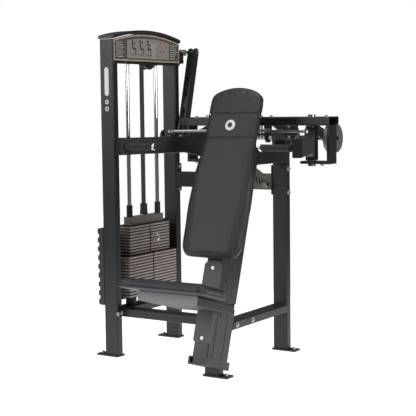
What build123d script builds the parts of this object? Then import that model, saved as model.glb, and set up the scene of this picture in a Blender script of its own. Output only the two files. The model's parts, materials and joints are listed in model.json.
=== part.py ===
from build123d import *
import math
import os

# ---------------------------------------------------------------- driving dimensions, mm
TUBE_W, TUBE_D, WALL, CORNER = 80, 40, 3, 5
FLOOR_PLATE = 8
TOWER_X = -666                     # middle plane of the weight tower
FRONT_Y, REAR_Y = 118, 658         # centres of the two tower uprights; the rear leg shares REAR_Y
TOWER_TOP = 1577
PLACARD_LOW = 1471                 # underside of the exercise placard
IN_X = TOWER_X + TUBE_W / 2        # inner face of the tower
LEG_TOP = 1040
BASE_Z = 198                       # underside of the low beams
CROSS_Z = 819                      # underside of the lower crossbeam
LINK_Z = 960                       # underside of the beam from column to leg

STACK_Y = 392                      # middle of the weight stack
ROD_SPAN, ROD_R = 123.5, 10
PITCH = 15
STACK_BASE = 285
LOWER_COUNT, UPPER_COUNT, LIFTED = 14, 10, 6
LOWER_SIZE, UPPER_SIZE, HEAD_SIZE = (116, 420), (76, 350), (50, 280)
HEAD_T = 40
PIN_R = 5

LEAN = 18.0                        # seat column and back pad, degrees from upright
COLUMN_FRONT, GUIDE_BACK, MAIN_BACK, COLUMN_BACK = -152, -112, -26, 34
PAD_LEAN = 20.3                    # the back pad lies back a little further than its column
PAD_FOOT, PAD_LEN = (-11, 547), 822          # y, z of its lower back edge, and its length
PAD_T, BOARD_T = 44, 12
SEAT_TILT = 16.0
SEAT_FRONT = (-431, 508)           # y, z of the front top edge of the seat
SEAT_DEPTH, SEAT_T, SEAT_HALF = 218, 48, 220
CARRIER_START, CARRIER_H, CARRIER_HALF = 78, 41, 155
SLEEVE_LOW, SLEEVE_HIGH = 300, 400
HOLE_STEP = 40

SHAFT_Y, SHAFT_Z, SHAFT_R = 658, 1085, 15
YOKE_Y, YOKE_TOP, YOKE_HALF = 439, 1187, 395
YOKE_BASE = 967
PIVOT_X, PIVOT_Y = 285, 439
ARM_TIP = (476, -70)
ARM_LOW, ARM_H, ARM_W = 1019, 80, 40
GRIP_Y, GRIP_Z, GRIP_R = -50, 1059, 15.5
ROD_PLANE = 1124                   # height of the tie rods
BALL = (369, 214)
CRANK_R = 75
TORQUE_LEFT, TORQUE_RIGHT = -545, 300
LINK_X, ARM_PLATE_X = 200, 98
LUG_T = 10
WEIGHT_Y, WEIGHT_Z, WEIGHT_R, WEIGHT_T = 990, 1070, 74, 45

BELT_W, BELT_T = 25, 4
TOP_R, REAR_R = 45, 28
BELT_Z = 1534                      # upper face of the level belt run
TOP_Y, TOP_Z = STACK_Y + TOP_R + BELT_T / 2, BELT_Z - BELT_T - TOP_R
REARP_Y, REARP_Z = 712, BELT_Z - BELT_T - REAR_R
ANCHOR_Y, ANCHOR_Z, ANCHOR_R = 775, 1532, 10
LEVER_X = -597

os.makedirs("parts", exist_ok=True)
sin_l, cos_l = math.sin(math.radians(LEAN)), math.cos(math.radians(LEAN))


def save(piece, label):
    piece.part.label = label
    export_step(piece.part, f"parts/{label}.step")


def rect_tube(plane, length, width=TUBE_W, depth=TUBE_D, wall=WALL):
    """A rectangular steel tube that starts on a plane and runs along its normal."""
    with BuildSketch(plane) as section:
        RectangleRounded(width, depth, CORNER)
        RectangleRounded(width - 2 * wall, depth - 2 * wall, CORNER - wall / 2, mode=Mode.SUBTRACT)
    extrude(section.sketch, amount=length)


def bar(plane, width, height, length, radius=2):
    """A solid bar of rounded rectangular section, run along a plane's normal."""
    with BuildSketch(plane) as section:
        RectangleRounded(width, height, radius)
    extrude(section.sketch, amount=length)


def rod(origin, direction, radius, length, mode=Mode.ADD):
    """A round bar from a point along a direction."""
    with BuildSketch(Plane(origin, z_dir=direction)) as section:
        Circle(radius)
    extrude(section.sketch, amount=length, mode=mode)


def ring(origin, direction, outer, inner, length):
    """A round sleeve from a point along a direction."""
    with BuildSketch(Plane(origin, z_dir=direction)) as section:
        Circle(outer)
        Circle(inner, mode=Mode.SUBTRACT)
    extrude(section.sketch, amount=length)


def bolt(origin, direction, radius=8, height=6):
    """A washer with a domed bolt head, seated on the face that the direction points out of."""
    rod(origin, direction, radius * 1.35, 2)
    seat = Vector(origin) + Vector(direction).normalized() * 2
    rod(tuple(seat), direction, radius, height)


def column_plane(u, along):
    """A plane across the leaning column: u is measured square to it, along runs up it."""
    y = u * cos_l + along * sin_l
    z = -u * sin_l + along * cos_l
    return Plane((0, y, z), x_dir=(1, 0, 0), z_dir=(0, sin_l, cos_l))


# ---------------------------------------------------------------- tower
with BuildPart() as front_upright:
    rect_tube(Plane((TOWER_X, FRONT_Y, FLOOR_PLATE)), TOWER_TOP - FLOOR_PLATE)
save(front_upright, "front_upright")

with BuildPart() as rear_upright:
    rect_tube(Plane((TOWER_X, REAR_Y, FLOOR_PLATE)), TOWER_TOP - FLOOR_PLATE)
    with Locations((TOWER_X, REAR_Y, BELT_Z - 2)):
        Box(BELT_W + 10, TUBE_D + 2, 36, mode=Mode.SUBTRACT)
    rod((TOWER_X - 50, SHAFT_Y, SHAFT_Z), (1, 0, 0), SHAFT_R + 2, 100, Mode.SUBTRACT)
save(rear_upright, "rear_upright")

with BuildPart() as rear_leg:
    rect_tube(Plane((0, REAR_Y, FLOOR_PLATE)), LEG_TOP - FLOOR_PLATE)
save(rear_leg, "rear_leg")

# floor plates reach past the tube on one side, where the floor bolt goes
with BuildPart() as floor_plates:
    for x, y, side in ((TOWER_X, FRONT_Y, -1), (TOWER_X, REAR_Y, -1), (0, REAR_Y, 1)):
        with BuildSketch(Plane.XY):
            with Locations((x + side * 22, y)):
                RectangleRounded(134, 60, 4)
            with Locations((x + side * 68, y)):
                Circle(6, mode=Mode.SUBTRACT)
        extrude(amount=FLOOR_PLATE)
    with BuildSketch(Plane.XY):
        with Locations((22, 0)):
            RectangleRounded(134, 60, 4)
        with Locations((68, 0)):
            Circle(6, mode=Mode.SUBTRACT)
    extrude(amount=FLOOR_PLATE)
save(floor_plates, "floor_plates")

with BuildPart() as tower_base:
    rect_tube(Plane((TOWER_X, FRONT_Y + TUBE_D / 2, 218), x_dir=(1, 0, 0), z_dir=(0, 1, 0)),
              REAR_Y - FRONT_Y - TUBE_D)
    for y in (STACK_Y - ROD_SPAN, STACK_Y + ROD_SPAN):
        with Locations((TOWER_X, y, 236)):
            Cylinder(ROD_R + 0.05, 30, mode=Mode.SUBTRACT)
save(tower_base, "tower_base")

with BuildPart() as stack_buffers:
    for y in (STACK_Y - ROD_SPAN, STACK_Y + ROD_SPAN):
        ring((TOWER_X, y, 238), (0, 0, 1), 28, ROD_R + 0.4, STACK_BASE - 238)
save(stack_buffers, "stack_buffers")

with BuildPart() as guide_rods:
    for y in (STACK_Y - ROD_SPAN, STACK_Y + ROD_SPAN):
        rod((TOWER_X, y, 224), (0, 0, 1), ROD_R, 1514 - 224)
save(guide_rods, "guide_rods")

# two cheek plates tie the uprights at the top and carry the pulley axle; blocks between them
# hold the upper ends of the guide rods
HEAD_LOW, HEAD_HIGH, CHEEK_X, CHEEK_T = 1478, 1570, 29, 6
with BuildPart() as pulley_brackets:
    for side in (-1, 1):
        with BuildSketch(Plane((TOWER_X + side * CHEEK_X - CHEEK_T / 2, 0, 0), x_dir=(0, 1, 0),
                               z_dir=(1, 0, 0))):
            with Locations((388, (HEAD_LOW + HEAD_HIGH) / 2)):
                RectangleRounded(REAR_Y - FRONT_Y - TUBE_D, HEAD_HIGH - HEAD_LOW, 4)
            with Locations((TOP_Y, HEAD_LOW)):
                Rectangle(70, 30)
            with Locations((TOP_Y, TOP_Z)):
                Circle(10.02, mode=Mode.SUBTRACT)
        extrude(amount=CHEEK_T)
    for y in (STACK_Y - ROD_SPAN, STACK_Y + ROD_SPAN):
        with Locations((TOWER_X, y, 1498)):
            Box(2 * CHEEK_X - CHEEK_T, 44, 36)
            Cylinder(ROD_R + 0.05, 60, mode=Mode.SUBTRACT)
    for side in (-1, 1):
        with BuildSketch(Plane((TOWER_X + side * 31 - 3, 0, 0), x_dir=(0, 1, 0), z_dir=(1, 0, 0))):
            with Locations((705, REARP_Z)):
                RectangleRounded(54, 60, 3)
            with Locations((REARP_Y, REARP_Z)):
                Circle(8.02, mode=Mode.SUBTRACT)
        extrude(amount=6)
    with Locations((IN_X + 3, 388, PLACARD_LOW - 7)):
        Box(6, 576, 13)
save(pulley_brackets, "pulley_brackets")

with BuildPart() as pulley_axles:
    rod((TOWER_X - 36, TOP_Y, TOP_Z), (1, 0, 0), 10, 72)
    rod((TOWER_X - 38, REARP_Y, REARP_Z), (1, 0, 0), 8, 76)
save(pulley_axles, "pulley_axles")


def pulley(y, z, radius, bore, width):
    """A flanged belt pulley on an axis along X, in the tower's middle plane."""
    ring((TOWER_X - width / 2, y, z), (1, 0, 0), radius, bore, width)
    for x in (TOWER_X - width / 2 - 3, TOWER_X + width / 2):
        ring((x, y, z), (1, 0, 0), radius + 6, bore, 3)


with BuildPart() as top_pulley:
    pulley(TOP_Y, TOP_Z, TOP_R - 0.3, 10.06, BELT_W + 4)
save(top_pulley, "top_pulley")

with BuildPart() as rear_pulley:
    pulley(REARP_Y, REARP_Z, REAR_R - 0.3, 8.05, BELT_W + 4)
save(rear_pulley, "rear_pulley")

# the rear pulley hangs between two ears behind the rear upright

# arched cap over the tower, with the exercise placard below it on the inner side
CAP_FRONT, CAP_REAR, CAP_RISE, CAP_T, CAP_Z = 95, 684, 36, 16, 1578
with BuildPart() as tower_cap:
    with BuildSketch(Plane((TOWER_X - 45, 0, 0), x_dir=(0, 1, 0), z_dir=(1, 0, 0))):
        with BuildLine():
            ThreePointArc((CAP_FRONT, CAP_Z), ((CAP_FRONT + CAP_REAR) / 2, CAP_Z + CAP_RISE),
                          (CAP_REAR, CAP_Z))
            Line((CAP_REAR, CAP_Z), (CAP_REAR, CAP_Z + CAP_T))
            ThreePointArc((CAP_REAR, CAP_Z + CAP_T),
                          ((CAP_FRONT + CAP_REAR) / 2, CAP_Z + CAP_RISE + CAP_T),
                          (CAP_FRONT, CAP_Z + CAP_T))
            Line((CAP_FRONT, CAP_Z + CAP_T), (CAP_FRONT, CAP_Z))
        make_face()
    extrude(amount=92)
save(tower_cap, "tower_cap")

with BuildPart() as placard:
    with BuildSketch(Plane((IN_X, 0, 0), x_dir=(0, 1, 0), z_dir=(1, 0, 0))):
        with BuildLine():
            Line((100, PLACARD_LOW), (676, PLACARD_LOW))
            Line((676, PLACARD_LOW), (676, CAP_Z - 3))
            ThreePointArc((676, CAP_Z - 3), (388, CAP_Z + CAP_RISE - 4), (100, CAP_Z - 3))
            Line((100, CAP_Z - 3), (100, PLACARD_LOW))
        make_face()
    extrude(amount=4)
save(placard, "placard")

# a flat rail under the placard ties the two uprights on the inner side

# ribbed guard on the far side of the weight stack
GUARD_LOW, GUARD_HIGH, RIBS = 256, 643, 9
with BuildPart() as stack_guard:
    guard_mid = (GUARD_LOW + GUARD_HIGH) / 2
    with Locations((TOWER_X - 64, 388, guard_mid)):
        Box(6, 580, GUARD_HIGH - GUARD_LOW)
    for y in (FRONT_Y, REAR_Y):
        with Locations((TOWER_X - 51, y, guard_mid)):
            Box(22, 40, GUARD_HIGH - GUARD_LOW)
    for i in range(RIBS):
        z = GUARD_LOW + 16 + i * (GUARD_HIGH - GUARD_LOW - 32) / (RIBS - 1)
        with Locations((TOWER_X - 71, 388, z)):
            Box(8, 580, 24)
save(stack_guard, "stack_guard")

# ---------------------------------------------------------------- weight stack
def weight_plate(size, z, rise=PITCH - 0.6, groove=True):
    """One steel plate with its two rod holes, its middle bore and the pin hole from the side."""
    width, length = size
    with BuildSketch(Plane((TOWER_X, STACK_Y, z))) as outline:
        Rectangle(width, length)
        with Locations((0, -ROD_SPAN), (0, ROD_SPAN)):
            Circle(ROD_R + 2, mode=Mode.SUBTRACT)
        Circle(12.5, mode=Mode.SUBTRACT)
    extrude(outline.sketch, amount=rise)
    if groove:
        rod((TOWER_X, STACK_Y, z + rise / 2), (1, 0, 0), PIN_R + 0.6, width, Mode.SUBTRACT)


TOP_PLATE_Z = STACK_BASE + (LOWER_COUNT + UPPER_COUNT) * PITCH
FIRST_LIFTED = LOWER_COUNT + UPPER_COUNT - LIFTED
PIN_Z = STACK_BASE + FIRST_LIFTED * PITCH + (PITCH - 0.6) / 2


with BuildPart() as resting_plates:
    for i in range(LOWER_COUNT):
        weight_plate(LOWER_SIZE, STACK_BASE + i * PITCH)
    for i in range(LOWER_COUNT, FIRST_LIFTED):
        weight_plate(UPPER_SIZE, STACK_BASE + i * PITCH)
save(resting_plates, "resting_plates")

with BuildPart() as lifted_plates:
    for i in range(FIRST_LIFTED, LOWER_COUNT + UPPER_COUNT):
        weight_plate(UPPER_SIZE, STACK_BASE + i * PITCH)
save(lifted_plates, "lifted_plates")

with BuildPart() as head_plate:
    with BuildSketch(Plane((TOWER_X, STACK_Y, TOP_PLATE_Z + 2))):
        Rectangle(*HEAD_SIZE)
        with Locations((0, -ROD_SPAN), (0, ROD_SPAN)):
            Circle(15, mode=Mode.SUBTRACT)
        Circle(12.05, mode=Mode.SUBTRACT)
    extrude(amount=HEAD_T)
save(head_plate, "head_plate")
HEAD_TOP = TOP_PLATE_Z + 2 + HEAD_T


# the selector stem hangs from the head plate and has a cross hole at every plate
with BuildPart() as selector_stem:
    rod((TOWER_X, STACK_Y, STACK_BASE + 2), (0, 0, 1), 12, HEAD_TOP + 4 - STACK_BASE - 2)
    for i in range(LOWER_COUNT + UPPER_COUNT):
        z = STACK_BASE + i * PITCH + (PITCH - 0.6) / 2
        rod((TOWER_X - 20, STACK_Y, z), (1, 0, 0), PIN_R + 0.05, 40, Mode.SUBTRACT)
save(selector_stem, "selector_stem")

PIN_START, PIN_OUT, HOOK_IN, HOOK_RISE = TOWER_X - 11, TOWER_X + 90, TOWER_X + 46, 28
with BuildPart() as selector_pin:
    with BuildSketch(Plane((PIN_START, STACK_Y, PIN_Z), z_dir=(1, 0, 0))) as pin_foot:
        Circle(PIN_R)
    with BuildLine() as hook_path:
        FilletPolyline((PIN_START, STACK_Y, PIN_Z), (PIN_OUT, STACK_Y, PIN_Z),
                       (PIN_OUT, STACK_Y, PIN_Z + HOOK_RISE), (HOOK_IN, STACK_Y, PIN_Z + HOOK_RISE),
                       radius=9)
    sweep(sections=pin_foot.sketch, path=hook_path.line)
save(selector_pin, "selector_pin")

BELT_FOOT = HEAD_TOP + 62
with BuildPart() as head_fittings:
    with Locations((TOWER_X, STACK_Y, HEAD_TOP + 4 + 10)):
        Box(34, 22, 20)
    for side in (-1, 1):
        with Locations((TOWER_X, STACK_Y + side * (BELT_T / 2 + 3), HEAD_TOP + 24 + 18)):
            Box(34, 6, 36)
    for z in (HEAD_TOP + 33, HEAD_TOP + 50):
        rod((TOWER_X, STACK_Y + 8, z), (0, 1, 0), 6, 5)
        rod((TOWER_X, STACK_Y - 8, z), (0, -1, 0), 6, 5)
    for y in (STACK_Y - ROD_SPAN, STACK_Y + ROD_SPAN):
        ring((TOWER_X, y, TOP_PLATE_Z + 2), (0, 0, 1), 14.98, ROD_R + 0.08, HEAD_T)
        ring((TOWER_X, y, HEAD_TOP), (0, 0, 1), 15.5, ROD_R + 0.08, 60)
save(head_fittings, "head_fittings")

# the belt: up from the clevis, over the top pulley, back through the rear upright, to the lever
BELT_BOTTOM = HEAD_TOP + 24
with BuildPart() as belt_front_run:
    with BuildSketch(Plane((TOWER_X, STACK_Y, BELT_BOTTOM))):
        Rectangle(BELT_W, BELT_T)
    extrude(amount=TOP_Z - BELT_BOTTOM)
save(belt_front_run, "belt_front_run")

with BuildPart() as belt_over_pulley:
    with BuildSketch(Plane((TOWER_X - BELT_W / 2, TOP_Y, TOP_Z), x_dir=(0, 1, 0), z_dir=(1, 0, 0))):
        Circle(TOP_R + BELT_T)
        Circle(TOP_R, mode=Mode.SUBTRACT)
        with Locations((-100, 100)):
            Rectangle(200, 200, mode=Mode.INTERSECT)
        with Locations(((REARP_Y - TOP_Y) / 2, TOP_R + BELT_T / 2)):
            Rectangle(REARP_Y - TOP_Y, BELT_T)
    extrude(amount=BELT_W)
save(belt_over_pulley, "belt_over_pulley")

CLAMP_Y = ANCHOR_Y - 26
with BuildPart() as belt_rear_run:
    with Locations((TOWER_X, (REARP_Y + CLAMP_Y + 6) / 2, BELT_Z - BELT_T / 2)):
        Box(BELT_W, CLAMP_Y + 6 - REARP_Y, BELT_T)
save(belt_rear_run, "belt_rear_run")

# clamp on the anchor pin: an eye with two jaws that hold the belt end

# ---------------------------------------------------------------- low and middle frame
with BuildPart() as side_base_beam:
    rect_tube(Plane((IN_X, 180, BASE_Z + 20), x_dir=(0, 1, 0), z_dir=(1, 0, 0)), -IN_X - 40)
save(side_base_beam, "side_base_beam")

with BuildPart() as rear_base_beam:
    rect_tube(Plane((0, 60, BASE_Z + 20), x_dir=(1, 0, 0), z_dir=(0, 1, 0)),
              REAR_Y - TUBE_D / 2 - 60)
    split(bisect_by=Plane(column_plane(COLUMN_BACK, 200).origin, z_dir=(0, cos_l, -sin_l)),
          keep=Keep.TOP)
save(rear_base_beam, "rear_base_beam")

FLANGE_T, FLANGE_LOW, FLANGE_HIGH = 8, 795, 943
with BuildPart() as lower_crossbeam:
    rect_tube(Plane((IN_X + FLANGE_T, REAR_Y, CROSS_Z + 40), x_dir=(0, 0, 1), z_dir=(1, 0, 0)),
              -IN_X - 40 - 2 * FLANGE_T)
    for x in (IN_X, -40 - FLANGE_T):
        bar(Plane((x, REAR_Y, (FLANGE_LOW + FLANGE_HIGH) / 2), x_dir=(0, 0, 1), z_dir=(1, 0, 0)),
            FLANGE_HIGH - FLANGE_LOW, TUBE_D, FLANGE_T)
save(lower_crossbeam, "lower_crossbeam")


# start plate on the front of the crossbeam: four slots and a pull pin on the frame
START_LEFT, START_RIGHT, START_T = -168, -45, 6
RANGE_X, RANGE_Z = -59, 846
RANGE_FACE = REAR_Y - 20 - START_T
with BuildPart() as start_plate:
    with BuildSketch(Plane((0, REAR_Y - 20, 0), x_dir=(1, 0, 0), z_dir=(0, -1, 0))):
        with BuildLine():
            Polyline((START_LEFT, CROSS_Z), (START_RIGHT, CROSS_Z), (START_RIGHT, 899), (-88, 899),
                     (-140, 932), (START_LEFT, 932), (START_LEFT, CROSS_Z))
        make_face()
        for x, z in ((-130, 869), (-113, 863), (-96, 857), (-80, 850)):
            with Locations((x, z)):
                SlotOverall(34, 8, rotation=100, mode=Mode.SUBTRACT)
        with Locations((RANGE_X, RANGE_Z)):
            Circle(6.05, mode=Mode.SUBTRACT)
    extrude(amount=START_T)
    ring((RANGE_X, RANGE_FACE, RANGE_Z), (0, -1, 0), 12, 6.05, 22)
save(start_plate, "start_plate")

with BuildPart() as range_pin:
    rod((RANGE_X, RANGE_FACE + 5, RANGE_Z), (0, -1, 0), 6, 34)
    rod((RANGE_X, RANGE_FACE - 23, RANGE_Z), (0, -1, 0), 13, 22)
save(range_pin, "range_pin")

# ---------------------------------------------------------------- leaning seat column
COLUMN_LOW = 40
GUIDE_MID = (COLUMN_FRONT + GUIDE_BACK) / 2
MAIN_MID = (GUIDE_BACK + MAIN_BACK) / 2
BACK_MID = (MAIN_BACK + COLUMN_BACK) / 2
PIN_U, PIN_V = -90, 317
with BuildPart() as column_guide:
    rect_tube(column_plane(GUIDE_MID, COLUMN_LOW), 530 - COLUMN_LOW, TUBE_W, GUIDE_BACK - COLUMN_FRONT)
save(column_guide, "column_guide")

with BuildPart() as column_main:
    rect_tube(column_plane(MAIN_MID, COLUMN_LOW), 1180, TUBE_W, MAIN_BACK - GUIDE_BACK)
    split(bisect_by=Plane((0, 0, LEG_TOP), z_dir=(0, 0, 1)), keep=Keep.BOTTOM)
    for i in range(-1, 4):
        spot = column_plane(PIN_U, PIN_V + i * HOLE_STEP).origin
        rod((20, spot.Y, spot.Z), (1, 0, 0), 5.6, 40, Mode.SUBTRACT)
save(column_main, "column_main")

with BuildPart() as column_back:
    rect_tube(column_plane(BACK_MID, COLUMN_LOW), 1180, TUBE_W, COLUMN_BACK - MAIN_BACK)
    split(bisect_by=Plane((0, 0, LEG_TOP), z_dir=(0, 0, 1)), keep=Keep.BOTTOM)
save(column_back, "column_back")

# a long pressed strip covers the front of the guide below the back pad
with BuildPart() as column_strip:
    with BuildSketch(Plane(column_plane(COLUMN_FRONT, 320).origin, x_dir=(1, 0, 0),
                           z_dir=(0, -cos_l, sin_l))):
        RectangleRounded(90, 370, 14)
    extrude(amount=6)
save(column_strip, "column_strip")

# link from the column to the rear leg; its front end is cut to the slope of the column
with BuildPart() as top_link_beam:
    rect_tube(Plane((0, 300, LINK_Z + 40), x_dir=(1, 0, 0), z_dir=(0, 1, 0)),
              REAR_Y - TUBE_D / 2 - 300, TUBE_W, 80)
    split(bisect_by=Plane(column_plane(COLUMN_BACK, 900).origin, z_dir=(0, cos_l, -sin_l)),
          keep=Keep.TOP)
save(top_link_beam, "top_link_beam")

# saddle at the column foot: a folded plate under and beside the tubes
SADDLE_LOW, SADDLE_FRONT, SADDLE_BACK = 32, -165, 38
SADDLE_LEN = SADDLE_BACK - SADDLE_FRONT
with BuildPart() as column_saddle:
    rect_tube(Plane((0, 0, FLOOR_PLATE)), 60)
    split(bisect_by=Plane(column_plane(0, SADDLE_LOW).origin, z_dir=(0, sin_l, cos_l)), keep=Keep.BOTTOM)
    with BuildSketch(column_plane((SADDLE_FRONT + SADDLE_BACK) / 2, SADDLE_LOW)):
        Rectangle(100, SADDLE_LEN)
    extrude(amount=COLUMN_LOW - SADDLE_LOW)
    with BuildSketch(column_plane((SADDLE_FRONT + SADDLE_BACK) / 2, COLUMN_LOW)):
        for side in (-1, 1):
            with Locations((side * 45, 0)):
                Rectangle(10, SADDLE_LEN)
    extrude(amount=30)
save(column_saddle, "column_saddle")


# ---------------------------------------------------------------- pads
sin_p, cos_p = math.sin(math.radians(PAD_LEAN)), math.cos(math.radians(PAD_LEAN))


def pad_plane(out, along):
    """A plane in the pad's own slope: out is measured from its back face towards the front."""
    y = PAD_FOOT[0] - out * cos_p + along * sin_p
    z = PAD_FOOT[1] + out * sin_p + along * cos_p
    return Plane((0, y, z), x_dir=(1, 0, 0), z_dir=(0, -cos_p, sin_p))


with BuildPart() as back_pad:
    with BuildSketch(pad_plane(0, 0)) as back_outline:
        with BuildLine():
            Polyline((-139, PAD_LEN - 40), (-135, 560), (-170, 330), (-158, 0), (158, 0),
                     (170, 330), (135, 560), (139, PAD_LEN - 40))
            ThreePointArc((139, PAD_LEN - 40), (0, PAD_LEN), (-139, PAD_LEN - 40))
        make_face()
        for half_width, radius in ((170, 160), (135, 160), (158, 55), (139, 40)):
            fillet([c for c in back_outline.vertices() if abs(abs(c.X) - half_width) < 0.5], radius)
    extrude(amount=PAD_T)
save(back_pad, "back_pad")

with BuildPart() as back_board:
    with BuildSketch(pad_plane(-BOARD_T, 20)):
        with Locations((0, (PAD_LEN - 70) / 2)):
            RectangleRounded(240, PAD_LEN - 70, 30)
    extrude(amount=BOARD_T - 0.3)
save(back_board, "back_board")

# the board stands off its column on two wedge blocks
with BuildPart() as pad_brackets:
    for along in (600, 990):
        with BuildSketch(Plane(column_plane(GUIDE_BACK, along).origin, x_dir=(1, 0, 0),
                               z_dir=(0, -cos_l, sin_l))):
            Rectangle(70, 70)
        extrude(amount=90)
    split(bisect_by=pad_plane(-BOARD_T, 0), keep=Keep.BOTTOM)
save(pad_brackets, "pad_brackets")

tilt = math.radians(SEAT_TILT)
seat_dir = (0, math.cos(tilt), -math.sin(tilt))
seat_up = (0, math.sin(tilt), math.cos(tilt))


def seat_point(back, down):
    """A point on the middle plane, measured from the front top edge of the seat."""
    return (0, SEAT_FRONT[0] + back * seat_dir[1] - down * seat_up[1],
            SEAT_FRONT[1] + back * seat_dir[2] - down * seat_up[2])


with BuildPart() as seat_pad:
    with BuildSketch(Plane(seat_point(SEAT_DEPTH / 2, SEAT_T), x_dir=(1, 0, 0), z_dir=seat_up)):
        RectangleRounded(2 * SEAT_HALF, SEAT_DEPTH, 28)
    extrude(amount=SEAT_T)
save(seat_pad, "seat_pad")

BOX_DROP = 0.3 + CARRIER_H / 2
with BuildPart() as seat_carrier:
    rect_tube(Plane(seat_point(CARRIER_START, SEAT_T + BOX_DROP), x_dir=(1, 0, 0), z_dir=seat_dir),
              400, 2 * CARRIER_HALF, CARRIER_H)
    split(bisect_by=Plane(column_plane(COLUMN_FRONT - 20, 350).origin, z_dir=(0, cos_l, -sin_l)),
          keep=Keep.BOTTOM)
    with BuildSketch(Plane(seat_point(CARRIER_START, SEAT_T + BOX_DROP), x_dir=(1, 0, 0),
                           z_dir=seat_dir)):
        RectangleRounded(2 * CARRIER_HALF, CARRIER_H, CORNER)
    extrude(amount=3)
save(seat_carrier, "seat_carrier")

# sleeve round the guide tube: a front plate with two cheeks, and a liner block in each cheek
pin_spot = column_plane(PIN_U, PIN_V).origin
with BuildPart() as seat_sleeve:
    with BuildSketch(column_plane(0, SLEEVE_LOW)):
        with Locations((0, COLUMN_FRONT - 14)):
            Rectangle(112, 12)
        for side in (-1, 1):
            with Locations((side * 51.5, COLUMN_FRONT + 42)):
                Rectangle(9, 100)
    extrude(amount=SLEEVE_HIGH - SLEEVE_LOW)
    rod((50, pin_spot.Y, pin_spot.Z), (1, 0, 0), 11, 30)
    rod((44, pin_spot.Y, pin_spot.Z), (1, 0, 0), 5.06, 40, Mode.SUBTRACT)
    with BuildSketch(column_plane(0, SLEEVE_LOW + 5)):
        for side in (-1, 1):
            with Locations((side * 43.5, COLUMN_FRONT + 20)):
                Rectangle(6.9, 36)
    extrude(amount=SLEEVE_HIGH - SLEEVE_LOW - 10)
save(seat_sleeve, "seat_sleeve")


with BuildPart() as seat_pin:
    rod((41, pin_spot.Y, pin_spot.Z), (1, 0, 0), 5, 50)
    rod((89, pin_spot.Y, pin_spot.Z), (1, 0, 0), 15, 22)
save(seat_pin, "seat_pin")

# ---------------------------------------------------------------- press frame
with BuildPart() as main_shaft:
    rod((TOWER_X - 54, SHAFT_Y, SHAFT_Z), (1, 0, 0), SHAFT_R, 54 - TOWER_X + 92)
save(main_shaft, "main_shaft")


with BuildPart() as shaft_bearings:
    with BuildSketch(Plane((-38, 0, 0), x_dir=(0, 1, 0), z_dir=(1, 0, 0))):
        with BuildLine():
            Polyline((SHAFT_Y - 20, LEG_TOP), (SHAFT_Y + 20, LEG_TOP), (SHAFT_Y + 32, SHAFT_Z - 12),
                     (SHAFT_Y + 32, SHAFT_Z + 12), (SHAFT_Y + 16, SHAFT_Z + 34),
                     (SHAFT_Y - 16, SHAFT_Z + 34), (SHAFT_Y - 32, SHAFT_Z + 12),
                     (SHAFT_Y - 32, SHAFT_Z - 12), (SHAFT_Y - 20, LEG_TOP))
        make_face()
        with Locations((SHAFT_Y, SHAFT_Z)):
            Circle(SHAFT_R + 0.05, mode=Mode.SUBTRACT)
    extrude(amount=76)
    for x, width in ((TOWER_X - 40 - 12, 12), (IN_X, 6.5)):
        ring((x, SHAFT_Y, SHAFT_Z), (1, 0, 0), 36, SHAFT_R + 0.05, width)
save(shaft_bearings, "shaft_bearings")

with BuildPart() as yoke_top_beam:
    rect_tube(Plane((-YOKE_HALF, YOKE_Y, YOKE_TOP - 20), x_dir=(0, 1, 0), z_dir=(1, 0, 0)),
              2 * YOKE_HALF)
    for x in (-PIVOT_X, 0, PIVOT_X):
        rod((x, YOKE_Y, YOKE_TOP - 60), (0, 0, 1), 12.05, 80, Mode.SUBTRACT)
save(yoke_top_beam, "yoke_top_beam")

with BuildPart() as yoke_brackets:
    for side in (-1, 1):
        with Locations((side * (YOKE_HALF - 6), YOKE_Y, (YOKE_TOP - 40 + YOKE_BASE) / 2)):
            Box(12, 80, YOKE_TOP - 40 - YOKE_BASE)
    for side in (-1, 1):
        with Locations((side * (243 + YOKE_HALF - 12) / 2, YOKE_Y, YOKE_BASE + 6.5)):
            Box(YOKE_HALF - 12 - 243, 80, 13)
        rod((side * PIVOT_X, YOKE_Y, YOKE_BASE - 5), (0, 0, 1), 12.05, 30, Mode.SUBTRACT)
save(yoke_brackets, "yoke_brackets")


LEVER_T, LEVER_GAP = 10, 22
TUBE_START = LEVER_X + LEVER_GAP / 2 + LEVER_T
with BuildPart() as torque_frame:
    rect_tube(Plane((TUBE_START, SHAFT_Y, YOKE_TOP - 20), x_dir=(0, 1, 0), z_dir=(1, 0, 0)),
              TORQUE_RIGHT - TUBE_START)
    for side in (-1, 1):
        rect_tube(Plane((side * LINK_X, YOKE_Y + 40, YOKE_TOP - 20), x_dir=(1, 0, 0),
                        z_dir=(0, 1, 0)), SHAFT_Y - 40 - YOKE_Y - 40, 60, 40)
    for x in (TUBE_START, -75 - LUG_T / 2, 75 - LUG_T / 2):
        with BuildSketch(Plane((x, 0, 0), x_dir=(0, 1, 0), z_dir=(1, 0, 0))):
            with BuildLine():
                Polyline((SHAFT_Y - 34, YOKE_TOP - 40), (SHAFT_Y + 34, YOKE_TOP - 40),
                         (SHAFT_Y + 28, SHAFT_Z - 12), (SHAFT_Y + 12, SHAFT_Z - 28),
                         (SHAFT_Y - 12, SHAFT_Z - 28), (SHAFT_Y - 28, SHAFT_Z - 12),
                         (SHAFT_Y - 34, YOKE_TOP - 40))
            make_face()
            with Locations((SHAFT_Y, SHAFT_Z)):
                Circle(SHAFT_R + 0.02, mode=Mode.SUBTRACT)
        extrude(amount=LUG_T)
save(torque_frame, "torque_frame")


# lugs carry the torque tube on the shaft

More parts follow.
